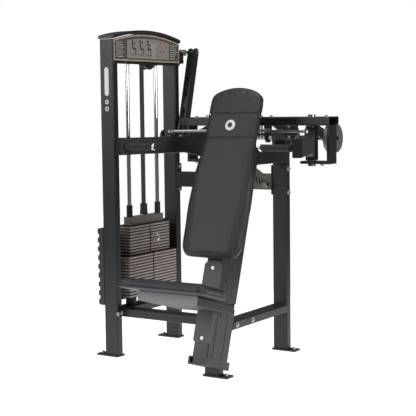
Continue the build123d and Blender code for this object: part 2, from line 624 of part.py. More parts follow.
with BuildPart() as counterweight_arms:
    for side in (-1, 1):
        with BuildSketch(Plane((side * ARM_PLATE_X - 5, 0, 0), x_dir=(0, 1, 0), z_dir=(1, 0, 0))):
            with BuildLine():
                Polyline((SHAFT_Y + 40, YOKE_TOP - 38), (SHAFT_Y + 40, YOKE_TOP - 4),
                         (SHAFT_Y + 90, YOKE_TOP - 4), (WEIGHT_Y + 20, WEIGHT_Z + 24),
                         (WEIGHT_Y + 20, WEIGHT_Z - 24), (WEIGHT_Y - 30, WEIGHT_Z - 24),
                         (SHAFT_Y + 70, YOKE_TOP - 38), (SHAFT_Y + 40, YOKE_TOP - 38))
            make_face()
            with Locations((WEIGHT_Y, WEIGHT_Z)):
                Circle(10.02, mode=Mode.SUBTRACT)
        extrude(amount=10)
    reach = ARM_PLATE_X + 6 + WEIGHT_T
    rod((-reach - 8, WEIGHT_Y, WEIGHT_Z), (1, 0, 0), 10, 2 * reach + 16)
save(counterweight_arms, "counterweight_arms")

with BuildPart() as counterweights:
    for x in (-ARM_PLATE_X - 6 - WEIGHT_T, ARM_PLATE_X + 6):
        ring((x, WEIGHT_Y, WEIGHT_Z), (1, 0, 0), WEIGHT_R, 10.02, WEIGHT_T)
save(counterweights, "counterweights")


# belt lever: two bars from the shaft, leaning back to the belt anchor
lever_lean = math.atan2(ANCHOR_Y - SHAFT_Y, ANCHOR_Z - SHAFT_Z)
lever_len = math.hypot(ANCHOR_Y - SHAFT_Y, ANCHOR_Z - SHAFT_Z)
along_y, along_z = math.sin(lever_lean), math.cos(lever_lean)
with BuildPart() as belt_lever:
    for side in (-1, 1):
        x = LEVER_X + side * (LEVER_GAP + LEVER_T) / 2 - LEVER_T / 2
        with BuildSketch(Plane((x, SHAFT_Y, SHAFT_Z), x_dir=(0, along_y, along_z), z_dir=(1, 0, 0))):
            with Locations((lever_len / 2, 0)):
                SlotCenterToCenter(lever_len, 44)
            Circle(SHAFT_R + 0.02, mode=Mode.SUBTRACT)
            with Locations((lever_len, 0)):
                Circle(ANCHOR_R + 0.02, mode=Mode.SUBTRACT)
        extrude(amount=LEVER_T)
    for along, length, height in ((183, 64, 40), (330, 30, 34)):
        spot = (SHAFT_Y + along * along_y, SHAFT_Z + along * along_z)
        bar(Plane((LEVER_X - LEVER_GAP / 2, *spot), x_dir=(0, along_y, along_z), z_dir=(1, 0, 0)),
            length, height, LEVER_GAP, 4)
save(belt_lever, "belt_lever")


with BuildPart() as belt_anchor:
    rod((TOWER_X - 20, ANCHOR_Y, ANCHOR_Z), (1, 0, 0), ANCHOR_R, LEVER_X + 26 - TOWER_X + 20)
    ring((TOWER_X - 17, ANCHOR_Y, ANCHOR_Z), (1, 0, 0), 17, ANCHOR_R + 0.05, 34)
    for side in (-1, 1):
        with Locations((TOWER_X, CLAMP_Y + 2, ANCHOR_Z + side * (BELT_T / 2 + 2.6))):
            Box(34, 26, 5)
save(belt_anchor, "belt_anchor")

# ---------------------------------------------------------------- press arms and their linkage
ARM_DX, ARM_DY = ARM_TIP[0] - PIVOT_X, PIVOT_Y - ARM_TIP[1]
ARM_LEN = math.hypot(ARM_DX, ARM_DY)
ARM_UNIT = (-ARM_DX / ARM_LEN, ARM_DY / ARM_LEN)      # from the right handle to its pivot


def arm_plane(side, back, height=ARM_LOW + ARM_H / 2):
    """A plane across one arm, a distance back from its tip."""
    return Plane((side * (ARM_TIP[0] + ARM_UNIT[0] * back), ARM_TIP[1] + ARM_UNIT[1] * back, height),
                 x_dir=(side * ARM_UNIT[1], -ARM_UNIT[0], 0),
                 z_dir=(side * ARM_UNIT[0], ARM_UNIT[1], 0))


HUB_LOW, HUB_HIGH, HUB_R, AXLE_R = 984, 1143, 30, 12
KNUCKLE_START, KNUCKLE_END = 390, ARM_LEN - 18
for side, word in ((-1, "left"), (1, "right")):
    with BuildPart() as arm:
        rect_tube(arm_plane(side, 62), KNUCKLE_START - 62, ARM_W, ARM_H)
        bar(arm_plane(side, 0), ARM_W + 4, ARM_H + 2, 62, 6)
        rod((side * 470, GRIP_Y, GRIP_Z), (-side, 0, 0), GRIP_R + 0.02, 60, Mode.SUBTRACT)
        with BuildSketch(arm_plane(side, KNUCKLE_START)):
            Rectangle(ARM_W, ARM_H)
        with BuildSketch(arm_plane(side, KNUCKLE_END, (HUB_LOW + HUB_HIGH) / 2)):
            Rectangle(ARM_W, HUB_HIGH - HUB_LOW - 8)
        loft()
        rod((side * PIVOT_X, PIVOT_Y, HUB_LOW), (0, 0, 1), HUB_R, HUB_HIGH - HUB_LOW)
        rod((side * PIVOT_X, PIVOT_Y, HUB_LOW - 10), (0, 0, 1), AXLE_R + 0.05,
            HUB_HIGH - HUB_LOW + 20, Mode.SUBTRACT)
        bar(Plane((side * BALL[0], BALL[1], ARM_LOW + ARM_H)), 40, 40, 8, 6)
        rod((side * BALL[0], BALL[1], ARM_LOW + ARM_H + 8), (0, 0, 1), 5, 30)
    save(arm, f"{word}_arm")


    with BuildPart() as grip:
        rod((side * 470, GRIP_Y, GRIP_Z), (-side, 0, 0), GRIP_R, 183)
        rod((side * 287, GRIP_Y, GRIP_Z), (-side, 0, 0), GRIP_R + 1.5, 8)
    save(grip, f"{word}_grip")


with BuildPart() as pivot_axles:
    for side in (-1, 1):
        rod((side * PIVOT_X, PIVOT_Y, YOKE_BASE - 8), (0, 0, 1), AXLE_R, YOKE_TOP - YOKE_BASE + 16)
        for z in (YOKE_BASE - 12, YOKE_TOP):
            rod((side * PIVOT_X, PIVOT_Y, z), (0, 0, 1), 18, 12)
        rod((side * PIVOT_X, PIVOT_Y, YOKE_BASE + 13), (0, 0, 1), 20, HUB_LOW - 0.4 - YOKE_BASE - 13)
        rod((side * PIVOT_X, PIVOT_Y, HUB_HIGH + 0.4), (0, 0, 1), 20, YOKE_TOP - 40 - HUB_HIGH - 0.4)
    rod((0, YOKE_Y, 1088), (0, 0, 1), 12, YOKE_TOP + 4 - 1088)
    rod((0, YOKE_Y, 1088), (0, 0, 1), 17, 11.5)
    rod((0, YOKE_Y, 1110.5), (0, 0, 1), 17, YOKE_TOP - 40 - 1110.5)
    rod((0, YOKE_Y, YOKE_TOP), (0, 0, 1), 17, 10)
save(pivot_axles, "pivot_axles")

with BuildPart() as sync_crank:
    with BuildSketch(Plane((0, YOKE_Y, 1100), x_dir=(0, 1, 0), z_dir=(0, 0, 1))):
        SlotCenterToCenter(2 * CRANK_R, 30)
        Circle(12.05, mode=Mode.SUBTRACT)
    extrude(amount=10)
    for side in (-1, 1):
        rod((0, YOKE_Y + side * CRANK_R, 1110), (0, 0, 1), 5, 30)
save(sync_crank, "sync_crank")


def tie_rod(start, end):
    """A threaded rod with a ring-shaped rod end at each end; the far ring has a loose bore."""
    dx, dy = end[0] - start[0], end[1] - start[1]
    span = math.hypot(dx, dy)
    unit = (dx / span, dy / span, 0)
    rod((start[0] + unit[0] * 12, start[1] + unit[1] * 12, ROD_PLANE), unit, 6, span - 24)
    for spot, bore in ((start, 5.05), (end, 7)):
        rod((spot[0], spot[1], ROD_PLANE - 7), (0, 0, 1), 15, 14)
        rod((spot[0], spot[1], ROD_PLANE - 20), (0, 0, 1), bore, 40, Mode.SUBTRACT)


with BuildPart() as left_tie_rod:
    tie_rod((-BALL[0], BALL[1]), (0, YOKE_Y + CRANK_R))
save(left_tie_rod, "left_tie_rod")

with BuildPart() as right_tie_rod:
    tie_rod((BALL[0], BALL[1]), (0, YOKE_Y - CRANK_R))
save(right_tie_rod, "right_tie_rod")

# ---------------------------------------------------------------- fasteners
with BuildPart() as frame_bolts:
    for z in (FLANGE_LOW + 12, FLANGE_HIGH - 18):
        bolt((IN_X + FLANGE_T, REAR_Y, z), (1, 0, 0))
        bolt((40, REAR_Y, z), (1, 0, 0))
    for y in (144, 289):
        bolt((40, y, BASE_Z + 20), (1, 0, 0), 7, 5)
    for along in (155, 480):
        spot = column_plane(COLUMN_FRONT - 6, along).origin
        rod(tuple(spot), (0, -cos_l, sin_l), 8, 1.6)
save(frame_bolts, "frame_bolts")
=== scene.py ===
# %% [markdown]
# # A chest press machine, dressed for a studio picture
#
# The machine arrives as a finished frame: steel tubes, plates, rods and levers, each a named
# node that already stands in its place. This notebook adds what a maker adds last: powder
# coat, chrome, stuffed and sewn pads, ribbed grips, a printed placard, belts and bolts.

# %% Load the frame
import json
import math
import random

import bmesh
import bpy
from mathutils import Matrix, Vector


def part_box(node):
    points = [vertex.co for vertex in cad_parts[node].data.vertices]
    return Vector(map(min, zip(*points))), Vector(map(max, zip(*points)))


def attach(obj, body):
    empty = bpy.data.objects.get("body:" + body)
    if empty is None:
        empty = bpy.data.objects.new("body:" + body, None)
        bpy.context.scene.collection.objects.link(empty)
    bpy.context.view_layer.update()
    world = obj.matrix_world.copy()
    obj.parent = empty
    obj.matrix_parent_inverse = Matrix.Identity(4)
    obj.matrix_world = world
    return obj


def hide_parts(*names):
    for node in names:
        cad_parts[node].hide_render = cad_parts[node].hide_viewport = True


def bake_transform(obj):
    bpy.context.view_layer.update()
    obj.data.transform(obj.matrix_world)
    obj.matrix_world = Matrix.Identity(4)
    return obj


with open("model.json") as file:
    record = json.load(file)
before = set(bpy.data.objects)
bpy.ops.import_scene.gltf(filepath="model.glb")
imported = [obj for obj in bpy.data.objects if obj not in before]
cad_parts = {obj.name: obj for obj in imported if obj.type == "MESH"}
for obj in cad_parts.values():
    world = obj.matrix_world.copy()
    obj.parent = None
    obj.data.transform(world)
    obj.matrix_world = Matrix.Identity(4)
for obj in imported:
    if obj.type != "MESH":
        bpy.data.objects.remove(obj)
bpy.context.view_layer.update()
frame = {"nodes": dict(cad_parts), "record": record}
nodes = frame["nodes"]

# %% [markdown]
# ## The camera
# A long lens from standing height keeps the uprights almost parallel. The camera is aimed with
# three plain angles: how far round it stands, how far it looks down, and a slight roll.

# %% Camera
VIEW_ROUND, VIEW_DOWN, VIEW_ROLL = (math.radians(a) for a in (32.405, 5.1445, -0.668))
CAMERA_AT = Vector((2.730, -4.337, 1.242))
forward = Vector((-math.sin(VIEW_ROUND) * math.cos(VIEW_DOWN),
                  math.cos(VIEW_ROUND) * math.cos(VIEW_DOWN), -math.sin(VIEW_DOWN)))
level = Vector((math.cos(VIEW_ROUND), math.sin(VIEW_ROUND), 0))
upright = level.cross(forward)
across = level * math.cos(VIEW_ROLL) + upright * math.sin(VIEW_ROLL)
overhead = upright * math.cos(VIEW_ROLL) - level * math.sin(VIEW_ROLL)
camera_data = bpy.data.cameras.new("camera")
camera_data.lens = 97.5
camera_data.sensor_width = 36
camera = bpy.data.objects.new("camera", camera_data)
bpy.context.scene.collection.objects.link(camera)
camera.matrix_world = Matrix((across, overhead, -forward)).transposed().to_4x4()
camera.location = CAMERA_AT
bpy.context.scene.camera = camera
print("camera looks along", tuple(round(c, 3) for c in forward))

# %% [markdown]
# ## Shader arithmetic
# Node trees are easier to read as formulas. `Value` wraps one socket, so that `1 - mask * 0.4`
# adds the Math nodes for us. Every other node comes from `Paint.node`.

# %% Shader helpers
class Value:
    """A socket, or a number, that can stand in a formula."""

    def __init__(self, paint, socket):
        self.paint, self.socket = paint, socket

    def _math(self, operation, first, second, clamp=False):
        settings = {"operation": operation, "use_clamp": clamp}
        return self.paint.node("ShaderNodeMath", settings, {0: first, 1: second})

    def __add__(self, other):
        return self._math("ADD", self, other)

    def __sub__(self, other):
        return self._math("SUBTRACT", self, other)

    def __rsub__(self, other):
        return self._math("SUBTRACT", other, self)

    def __mul__(self, other):
        return self._math("MULTIPLY", self, other)

    def __truediv__(self, other):
        return self._math("DIVIDE", self, other)

    def __gt__(self, other):
        return self._math("GREATER_THAN", self, other)

    __radd__, __rmul__ = __add__, __mul__

    def apply(self, operation, other=0.0, clamp=False):
        return self._math(operation, self, other, clamp)


class Paint:
    """One material and its node tree."""

    def __init__(self, name, roughness=0.5, metallic=0.0, **fixed):
        self.material = bpy.data.materials.new(name)
        self.material.use_nodes = True
        self.tree = self.material.node_tree
        self.shader = self.tree.nodes["Principled BSDF"]
        self.set(Roughness=roughness, Metallic=metallic, **fixed)
        place = self.tree.nodes.new("ShaderNodeTexCoord")
        self.place = Value(self, place.outputs["Object"])

    def feed(self, socket, value):
        if isinstance(value, Value):
            self.tree.links.new(value.socket, socket)
        else:
            socket.default_value = value

    def node(self, kind, settings=None, sockets=None, output=0):
        made = self.tree.nodes.new(kind)
        for key, value in (settings or {}).items():
            setattr(made, key, value)
        for key, value in (sockets or {}).items():
            self.feed(made.inputs[key], value)
        return Value(self, made.outputs[output])

    def set(self, **sockets):
        for key, value in sockets.items():
            self.feed(self.shader.inputs[key.replace("_", " ")], value)
        return self

    def noise(self, scale, detail=2.0, rough=0.5, where=None):
        return self.node("ShaderNodeTexNoise", {}, {"Vector": where or self.place, "Scale": scale,
                                                    "Detail": detail, "Roughness": rough})

    def mix(self, mask, low, high):
        made = self.tree.nodes.new("ShaderNodeMix")
        made.data_type = "RGBA"
        self.feed(made.inputs[0], mask)
        self.feed(made.inputs[6], (*low, 1) if isinstance(low, tuple) else low)
        self.feed(made.inputs[7], (*high, 1) if isinstance(high, tuple) else high)
        return Value(self, made.outputs[2])

    def bump(self, height, distance, strength=1.0):
        made = self.node("ShaderNodeBump", {}, {"Height": height, "Distance": distance,
                                                "Strength": strength})
        return self.set(Normal=made)

    def axis(self, name):
        return self.node("ShaderNodeSeparateXYZ", {}, {0: self.place}, output=name)


print("shader helpers ready")

# %% [markdown]
# ## Powder coat, steel, chrome, rubber and plastic
# Powder coat is a thick paint with a fine orange-peel skin: a tiny bump and a slightly uneven
# gloss say that better than any colour. Bare steel gets a rolled streak instead.

# %% Metal finishes
def powder_coat(name, dark, light, roughness, peel=0.00012, scale=620.0):
    paint = Paint(name)
    cloud = paint.noise(7.0, 3.0)
    speck = paint.noise(scale, 2.0, 0.6)
    paint.set(Base_Color=paint.mix(cloud * 0.7 + speck * 0.3, dark, light),
              Roughness=cloud * 0.12 + speck * 0.1 + (roughness - 0.11))
    return paint.bump(speck, peel).material


def bare_steel(name, dark, light, roughness, metallic, streak=(3.0, 3.0, 220.0)):
    paint = Paint(name, metallic=metallic)
    stretched = paint.node("ShaderNodeMapping", {}, {"Vector": paint.place, "Scale": streak})
    lines = paint.noise(1.0, 4.0, 0.6, stretched)
    patches = paint.noise(9.0, 4.0, 0.65)
    paint.set(Base_Color=paint.mix(lines * 0.5 + patches * 0.5, dark, light),
              Roughness=patches * 0.22 + (roughness - 0.11))
    return paint.bump(lines, 0.00008).material


def chrome_plate(name, tint, roughness):
    paint = Paint(name, metallic=1.0)
    haze = paint.noise(40.0, 3.0)
    paint.set(Base_Color=paint.mix(haze, tuple(c * 0.92 for c in tint), tint),
              Roughness=haze * 0.08 + roughness)
    return paint.bump(paint.noise(900.0), 0.00001).material


black_coat = powder_coat("black_powder_coat", (0.0065, 0.0068, 0.0078),
                         (0.014, 0.0145, 0.0165), 0.38)
SEAT_TILT = math.radians(16)
CARRIER_FACE, PANEL_DEEP = -0.4763, 0.0015    # measured along the tilted seat


def pale_panel_and_painted_shade():
    """The seat's carrier is pale grey, as its front panel shows; behind that panel its sides and
    rear are coloured near-black as painted shade, for the faces that lie in shadow.
    """
    paint = Paint("pale_panel_and_painted_shade", roughness=0.5)
    depth = paint.axis("Y") * math.cos(SEAT_TILT) - paint.axis("Z") * math.sin(SEAT_TILT)
    # Painted shade: past the front panel the carrier gets a near-black colour, standing in for the
    # shadow on its side and rear faces.
    painted_shade_behind_panel = depth > (CARRIER_FACE + PANEL_DEEP)
    grain = paint.noise(300.0, 3.0)
    front = paint.mix(grain, (0.20, 0.205, 0.21), (0.34, 0.345, 0.35))
    paint.set(Base_Color=paint.mix(painted_shade_behind_panel, front, (0.010, 0.0105, 0.012)),
              Roughness=grain * 0.1 + 0.45)
    return paint.bump(grain, 0.0002).material


seat_carrier_finish_with_shade = pale_panel_and_painted_shade()
strip_coat = powder_coat("strip_textured_coat", (0.045, 0.047, 0.050), (0.17, 0.172, 0.175), 0.6,
                         0.0005, 210.0)
head_coat = powder_coat("head_plate_coat", (0.12, 0.105, 0.095), (0.20, 0.18, 0.165), 0.42)
disc_steel = bare_steel("counterweight_steel", (0.16, 0.14, 0.125), (0.30, 0.27, 0.245), 0.5, 0.6)
turned_steel = bare_steel("turned_steel", (0.34, 0.34, 0.35), (0.52, 0.52, 0.52), 0.30, 1.0)
start_steel = bare_steel("start_plate_steel", (0.085, 0.075, 0.065), (0.17, 0.15, 0.13), 0.5, 0.3)
bright_chrome = chrome_plate("bright_chrome", (0.86, 0.86, 0.87), 0.08)
print("metal finishes made")

# %% [markdown]
# The stack's plates are cut from flat bar with a brown-grey face. A dark band at the top and bottom
# of each plate is painted shade for the gaps between the plates; one formula of height draws that
# band on every plate, at the stack's pitch.

# %% Weight plate finish
PLATE_PITCH, STACK_BASE = 0.015, 0.285


def plate_steel():
    paint = Paint("weight_plate_steel", metallic=0.55)
    height = ((paint.axis("Z") - STACK_BASE) / PLATE_PITCH).apply("FRACT")
    from_middle = (height - 0.48).apply("ABSOLUTE")
    # Painted shade: edge is a dark band at the top and bottom of each plate, standing in for the
    # shadow in the gaps between the plates.
    edge = (from_middle - 0.21).apply("MULTIPLY", 7.0, clamp=True)
    patches = paint.noise(26.0, 4.0, 0.6)
    grain = paint.noise(420.0, 2.0)
    face = paint.mix(patches * 0.6 + grain * 0.4, (0.26, 0.215, 0.19), (0.60, 0.52, 0.465))
    paint.set(Base_Color=paint.mix(edge, face, (0.022, 0.019, 0.018)),
              Roughness=patches * 0.2 + edge * 0.2 + 0.34)
    return paint.bump(grain - edge * 3.0, 0.0003).material


stack_steel = plate_steel()
print("plate finish:", stack_steel.name)


# %% Rubber, plastic, belt and vinyl
def moulded(name, dark, light, roughness, scale=300.0, bump=0.00008):
    paint = Paint(name)
    grain = paint.noise(scale, 3.0, 0.6)
    broad = paint.noise(12.0, 2.0)
    paint.set(Base_Color=paint.mix(grain * 0.5 + broad * 0.5, dark, light),
              Roughness=broad * 0.14 + roughness - 0.07)
    return paint.bump(grain, bump).material


def upholstery():
    """Grained vinyl: small cells for the grain, broad shading where it is pulled over foam."""
    paint = Paint("black_vinyl", Coat_Roughness=0.35)
    cells = paint.node("ShaderNodeTexVoronoi", {"feature": "DISTANCE_TO_EDGE"},
                       {"Vector": paint.place, "Scale": 520.0})
    pores = cells.apply("MULTIPLY", 5.0, clamp=True)
    broad = paint.noise(6.0, 3.0)
    fine = paint.noise(160.0, 3.0)
    paint.set(Base_Color=paint.mix(broad * 0.6 + fine * 0.4, (0.011, 0.0125, 0.015),
                                   (0.023, 0.0255, 0.030)),
              Roughness=broad * 0.10 + fine * 0.06 + 0.34, Coat_Weight=broad * 0.10 + 0.05)
    return paint.bump(pores + fine * 0.6, 0.00022).material


def woven_belt():
    paint = Paint("belt_webbing")
    cross = (paint.axis("Z") * 900.0).apply("SINE") * (paint.axis("X") * 900.0).apply("SINE")
    paint.set(Base_Color=paint.mix(cross * 0.5 + 0.5, (0.010, 0.010, 0.011), (0.03, 0.03, 0.032)),
              Roughness=cross * 0.06 + 0.6)
    return paint.bump(cross, 0.0002).material


black_plastic = moulded("black_moulding", (0.014, 0.0145, 0.016), (0.024, 0.025, 0.027), 0.42)
nylon = moulded("pulley_nylon", (0.02, 0.02, 0.021), (0.035, 0.035, 0.037), 0.35)
rubber = moulded("black_rubber", (0.012, 0.012, 0.012), (0.024, 0.024, 0.024), 0.72, 500.0, 0.0002)
board_paint = moulded("board_paint", (0.012, 0.012, 0.012), (0.02, 0.02, 0.02), 0.6)
vinyl = upholstery()
webbing = woven_belt()
print("soft finishes made")

# %% [markdown]
# ## Dressing the frame
# The CAD nodes keep their shape. Each takes a finish by the slot that the record gives it, so a
# tube and a bracket painted in one batch stay one colour. Three nodes have a finish of their own.

# %% Give every node its finish
finish_of_slot = {
    "black_frame": black_coat, "plate_steel": stack_steel,
    "head_steel": head_coat, "disc_iron": disc_steel, "chrome": bright_chrome,
    "bright_steel": turned_steel, "buffer_rubber": rubber, "grip_rubber": rubber,
    "belt_black": webbing, "pulley_nylon": nylon, "black_plastic": black_plastic,
    "placard_print": black_plastic, "black_vinyl": vinyl, "board_wood": board_paint,
}
finish_of_node = {"start_plate": start_steel, "column_strip": strip_coat,
                  "seat_carrier": seat_carrier_finish_with_shade}
for part in frame["record"]["subparts"]:
    target = nodes[part["node"]]
    finish = finish_of_node.get(part["node"]) or finish_of_slot[part["material_slot"]]
    if not target.material_slots:
        target.data.materials.append(finish)
    for place in target.material_slots:
        place.material = finish


# %% Helpers for new pieces
def piece(name, mesh, material, body, smooth=True):
    """A mesh becomes a piece: it gets a finish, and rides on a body."""
    made = bpy.data.objects.new(name, mesh)
    bpy.context.scene.collection.objects.link(made)
    if material is not None:
        mesh.materials.clear()
        mesh.materials.append(material)
    if smooth:
        mesh.polygons.foreach_set("use_smooth", [True] * len(mesh.polygons))
    if body:
        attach(made, body)
    return made


def finish_bmesh(shape, name):
    bmesh.ops.remove_doubles(shape, verts=shape.verts, dist=1e-6)
    bmesh.ops.recalc_face_normals(shape, faces=shape.faces)
    mesh = bpy.data.meshes.new(name)
    shape.to_mesh(mesh)
    shape.free()
    return mesh


def evaluated(source):
    """A new mesh of an object as its modifiers leave it."""
    return bpy.data.meshes.new_from_object(
        source.evaluated_get(bpy.context.evaluated_depsgraph_get()))


def loft(shape, rings):
    """Join closed rings of points, one after the next, and close both ends."""
    for low, high in zip(rings, rings[1:]):
        for i in range(len(low)):
            j = (i + 1) % len(low)
            shape.faces.new((low[i], low[j], high[j], high[i]))
    shape.faces.new(list(reversed(rings[0])))
    shape.faces.new(rings[-1])


def revolve(shape, profile, origin, direction, sides=40):
    """Turn (distance along, radius) pairs round an axis into a closed skin."""
    turn = Vector(direction).to_track_quat("Z", "Y").to_matrix()
    rings = []
    for along, radius in profile:
        ring = []
        for i in range(sides):
            a = 2 * math.pi * i / sides
            spot = Vector((radius * math.cos(a), radius * math.sin(a), along))
            ring.append(shape.verts.new(Vector(origin) + turn @ spot))
        rings.append(ring)
    loft(shape, rings)


def slab(shape, corners, normal, thickness):
    """A flat outline, given as points, is raised along a normal into a thin closed slab."""
    lift = Vector(normal).normalized() * thickness
    low = [shape.verts.new(Vector(c)) for c in corners]
    high = [shape.verts.new(Vector(c) + lift) for c in corners]
    loft(shape, [low, high])


# %% [markdown]
# ## The back pad
# A foam block under vinyl bulges between its seams and pulls in at its edges. The blank is cut a
# little small, remeshed evenly, and puffed up as cloth with air inside. The sewn lines come
# after that, because a remesh would wipe them out.

# %% Where things are on the leaning column
LEAN = math.radians(18)
PAD_LEAN = math.radians(20.3)                 # the pad lies back a little further
PAD_FOOT, PAD_LEN, PAD_THICK = (-0.011, 0.547), 0.822, 0.044
PAD_FACING = Vector((0, -math.cos(PAD_LEAN), math.sin(PAD_LEAN)))
PAD_UP = Vector((0, math.sin(PAD_LEAN), math.cos(PAD_LEAN)))


def on_column(x, square, along):
    return Vector((x, square * math.cos(LEAN) + along * math.sin(LEAN),
                   -square * math.sin(LEAN) + along * math.cos(LEAN)))


def on_pad(x, out, along):
    """A place on the back pad: out is measured forward from its back face."""
    return Vector((x, *PAD_FOOT)) + PAD_FACING * out + PAD_UP * along


def from_pad(place):
    """The reverse: how far out of the back face a place is, and how far up the pad."""
    reach = place - Vector((0, *PAD_FOOT))
    return reach.dot(PAD_FACING), reach.dot(PAD_UP)


def half_width(t):
    """The back pad's half width, from its lower end (t = 0) to its top (t = 1)."""
    stops = ((0.0, 0.154), (0.12, 0.161), (0.30, 0.167), (0.46, 0.161), (0.60, 0.144),
             (0.70, 0.135), (0.80, 0.136), (0.90, 0.138), (1.0, 0.139))
    for (t0, w0), (t1, w1) in zip(stops, stops[1:]):
        if t <= t1:
            s = (t - t0) / (t1 - t0)
            return w0 + (w1 - w0) * s * s * (3 - 2 * s)
    return stops[-1][1]


LOW_CORNER = 0.058
CROWN_HALF, CROWN_RISE, CROWN_BLEND = 0.139, 0.040, 9
OUTLINE_STEPS = 96


def pad_outline(inset):
    """The outline of the pad, drawn a distance inside its edge: round corners, arched crown."""
    points = []
    arch_r = (CROWN_HALF ** 2 + CROWN_RISE ** 2) / (2 * CROWN_RISE) - inset
    for i in range(OUTLINE_STEPS + 1):
        along = inset + (1 - math.cos(math.pi * i / OUTLINE_STEPS)) / 2 * (PAD_LEN - 2 * inset)
        w = half_width(along / PAD_LEN) - inset
        if along < LOW_CORNER:
            w -= LOW_CORNER - math.sqrt(max(LOW_CORNER ** 2 - (LOW_CORNER - along) ** 2, 0))
        drop = PAD_LEN - inset - along
        if drop < arch_r:
            crown = math.sqrt(max(arch_r ** 2 - (arch_r - drop) ** 2, 1e-8))
            w = (w ** -CROWN_BLEND + crown ** -CROWN_BLEND) ** (-1 / CROWN_BLEND)
        points.append((max(w, 0.004), along))
    return points + [(-w, along) for w, along in reversed(points)]


CLOTH_FRAMES = 20
COVER_VOXEL, COVER_PRESSURE, COVER_CAP = 0.005, 1.2, 0.0025


def puffed(source, voxel, pressure, cap, pinned=None):
    """Remesh a blank and swell it as cloth; no point may move further than the cap."""
    bpy.context.view_layer.objects.active = source
    remesh = source.modifiers.new("even", "REMESH")
    remesh.mode = "VOXEL"
    remesh.voxel_size = voxel
    even = evaluated(source)
    source.modifiers.remove(remesh)
    source.data = even
    start = [v.co.copy() for v in even.vertices]
    cloth = source.modifiers.new("air", "CLOTH")
    cloth.settings.use_pressure = True
    cloth.settings.uniform_pressure_force = pressure
    cloth.settings.effector_weights.gravity = 0
    cloth.settings.tension_stiffness = 18
    cloth.settings.compression_stiffness = 18
    cloth.settings.bending_stiffness = 4
    cloth.settings.quality = 5
    cloth.point_cache.frame_start, cloth.point_cache.frame_end = 1, CLOTH_FRAMES
    if pinned:
        group = source.vertex_groups.new(name="pinned")
        group.add([v.index for v in even.vertices if pinned(v.co)], 1.0, "ADD")
        cloth.settings.vertex_group_mass = "pinned"
    for step in range(1, CLOTH_FRAMES + 1):
        bpy.context.scene.frame_set(step)
    swollen = evaluated(source)
    source.modifiers.clear()
    source.vertex_groups.clear()
    for vertex, rest in zip(swollen.vertices, start):
        moved = vertex.co - rest
        if moved.length > cap:
            vertex.co = rest + moved.normalized() * cap
    source.data = swollen
    bpy.context.scene.frame_set(1)


def smoothed(source):
    """Divide a cover once and shade it smooth."""
    subdivide = source.modifiers.new("smooth", "SUBSURF")
    subdivide.levels = subdivide.render_levels = 1
    finer = evaluated(source)
    source.modifiers.clear()
    source.data = finer
    finer.polygons.foreach_set("use_smooth", [True] * len(finer.polygons))


# %% Cut the back pad's blank
def back_pad_blank():
    shape = bmesh.new()
    rings = []
    edge = 0.016
    depth = PAD_THICK - 0.004
    profile = [(0.006, 0.0), (0.002, 0.004), (0.002, depth - edge)]
    profile += [(0.002 + edge * (1 - math.cos(a)), depth - edge + edge * math.sin(a))
                for a in (math.radians(d) for d in (25, 50, 75, 90))]
    profile += [(0.05, depth + 0.001), (0.085, depth + 0.002)]
    for inset, rise in profile:
        rings.append([shape.verts.new(on_pad(w, 0.001 + rise, along))
                      for w, along in pad_outline(inset)])
    loft(shape, rings)
    return finish_bmesh(shape, "back_pad_cover")


back_pad = piece("back_pad_cover", back_pad_blank(), vinyl, "frame")
puffed(back_pad, COVER_VOXEL, COVER_PRESSURE, COVER_CAP,
       lambda p: from_pad(p)[0] < 0.006)
print("back pad points:", len(back_pad.data.vertices))

# %% [markdown]
# Two sewn lines cross the pad under the head roll. A crease is a smooth valley: the closer a
# point is to the line, the deeper it is pressed in. The lower cushion keeps a flat middle, and
# its two sides fall away from a soft edge.

# %% Sew the creases into the back pad
HEAD_SEAM, NECK_SEAM = 0.690, 0.572           # up the pad from its lower end
SEAM_DEEP, SEAM_HALF = 0.0060, 0.0055
FACET_TOP, FACET_FADE = 0.520, 0.15
FACET_FALL, FACET_SOFT = 0.22, 0.004


def facet_line(along):
    """Where the flat middle of the lower cushion ends and its sloping side begins."""
    return 0.098 + 0.030 * min(max(along / FACET_TOP, 0), 1)


def side_slope(x, along):
    """How far the sloping side of the lower cushion lies under its flat middle."""
    below = min(max((FACET_TOP - along) / FACET_FADE, 0), 1)
    past = max(abs(x) - facet_line(along), 0)
    return (math.sqrt(past ** 2 + FACET_SOFT ** 2) - FACET_SOFT) * FACET_FALL * below


def press_creases(target):
    for vertex in target.data.vertices:
        p = vertex.co
        out, along = from_pad(p)
        face = min(max((out - 0.012) / 0.02, 0), 1)
        seams = [SEAM_DEEP * math.exp(-((along - seam) / SEAM_HALF) ** 2)
                 for seam in (HEAD_SEAM, NECK_SEAM)]
        vertex.co = p - PAD_FACING * (max(seams) + side_slope(p.x, along)) * face


smoothed(back_pad)
press_creases(back_pad)
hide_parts("back_pad")
print("back pad faces:", len(back_pad.data.polygons))

# %% [markdown]
# ## The seat pad
# The seat is a rounded block with a flat base. It is puffed the same way, with the same pressure
# and cap, and gets a round piping along its lower edge, where the cover is stapled under the board.

# %% Seat pad
SEAT_FRONT = Vector((0, -0.431, 0.508))
SEAT_HALF, SEAT_DEPTH, SEAT_THICK = 0.220, 0.218, 0.048
back_way = Vector((0, math.cos(SEAT_TILT), -math.sin(SEAT_TILT)))
up_way = Vector((0, math.sin(SEAT_TILT), math.cos(SEAT_TILT)))


def on_seat(x, back, down):
    return SEAT_FRONT + Vector((x, 0, 0)) + back_way * back - up_way * down


def seat_outline(inset, radius=0.030):
    points = []
    r = max(radius - inset, 0.004)
    for cx, cy, start in ((1, 1, 0), (-1, 1, 90), (-1, -1, 180), (1, -1, 270)):
        for step in range(9):
            a = math.radians(start + step * 90 / 8)
            points.append((cx * (SEAT_HALF - inset - r) + r * math.cos(a),
                           SEAT_DEPTH / 2 + cy * (SEAT_DEPTH / 2 - inset - r) + r * math.sin(a)))
    return points


